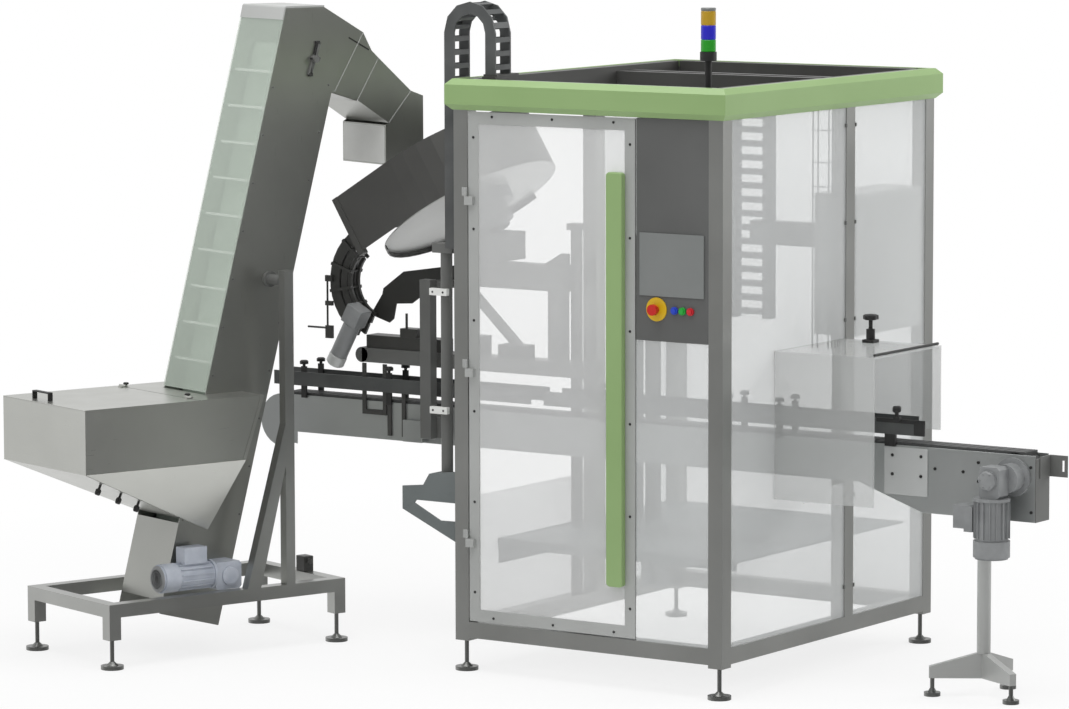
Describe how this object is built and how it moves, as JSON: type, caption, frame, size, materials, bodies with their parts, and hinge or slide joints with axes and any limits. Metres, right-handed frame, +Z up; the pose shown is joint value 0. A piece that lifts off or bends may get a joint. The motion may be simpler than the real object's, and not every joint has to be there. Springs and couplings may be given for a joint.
{
  "type": "packaging line machine",
  "caption": "Guarded packaging machine with a clear door, control column, conveyor through it, flighted elevator with hopper and a tilted sorting bowl.",
  "frame": {"origin": "on the floor, under the middle of the whole row", "axes": "+X along the conveyor, the way the product travels, the longest extent; +Y from the operator side to the back; +Z up"},
  "size_m": [3.8498, 2.3444, 2.48],
  "materials": {
    "band_green": "satin",
    "belt_white": "satin",
    "black": "matte",
    "chain_grey": "matte",
    "clear": "gloss",
    "dark_steel": "satin",
    "frame_grey": "satin",
    "lamp": "gloss",
    "motor_grey": "satin",
    "red": "gloss",
    "screen_grey": "gloss",
    "steel": "satin"
  },
  "bodies": {
    "plant": {"bowl_collar": "dark_steel", "bowl_frame": "frame_grey", "bowl_motor": "motor_grey", "bowl_pan": "steel", "cabinet_frame": "frame_grey", "cable_basket": "steel", "casing_fittings": "dark_steel", "chute_stays": "black", "clear_panels": "clear", "control_column": "frame_grey", "conveyor_belt": "steel", "conveyor_plates": "steel", "curved_chute": "black", "discharge_chute": "dark_steel", "door_hinges": "steel", "electric_box": "frame_grey", "elevator_belt": "belt_white", "elevator_casing": "dark_steel", "elevator_cover": "clear", "elevator_drive": "motor_grey", "elevator_frame": "frame_grey", "elevator_head_cap": "steel", "exit_guard": "clear", "guard_knob": "black", "guide_rails": "black", "head_uprights": "frame_grey", "hopper": "dark_steel", "inner_chain": "chain_grey", "levelling_feet": "dark_steel", "machine_bed": "dark_steel", "outfeed_drive": "motor_grey", "outfeed_stand": "steel", "panel_clamps": "black", "push_buttons": "black", "rail_posts": "black", "screen": "screen_grey", "shaft_column": "steel", "side_arm": "frame_grey", "stack_light_base": "black", "stack_light_lamps": "lamp", "stop_button": "red", "switch_box": "black", "top_band": "band_green", "top_beams": "frame_grey", "top_chain": "chain_grey", "track": "black", "track_blocks": "black", "track_drive": "motor_grey"},
    "door": {"door_frame": "steel", "door_glass": "clear", "door_handle": "band_green"},
    "lid": {"hopper_lid": "dark_steel", "lid_handle": "black"}
  },
  "joints": [
    {"name": "front_door_hinge", "type": "hinge", "parent": "plant", "child": "door", "pos_m": [-0.2296, -0.3782, 1.1], "axis": [0, 0, -1], "range_deg": [0, 105]},
    {"name": "hopper_lid_hinge", "type": "hinge", "parent": "plant", "child": "lid", "pos_m": [-1.49212, -0.61462, 0.986], "axis": [-0.9461, 0.3239, 0], "range_deg": [0, 95]}
  ]
}
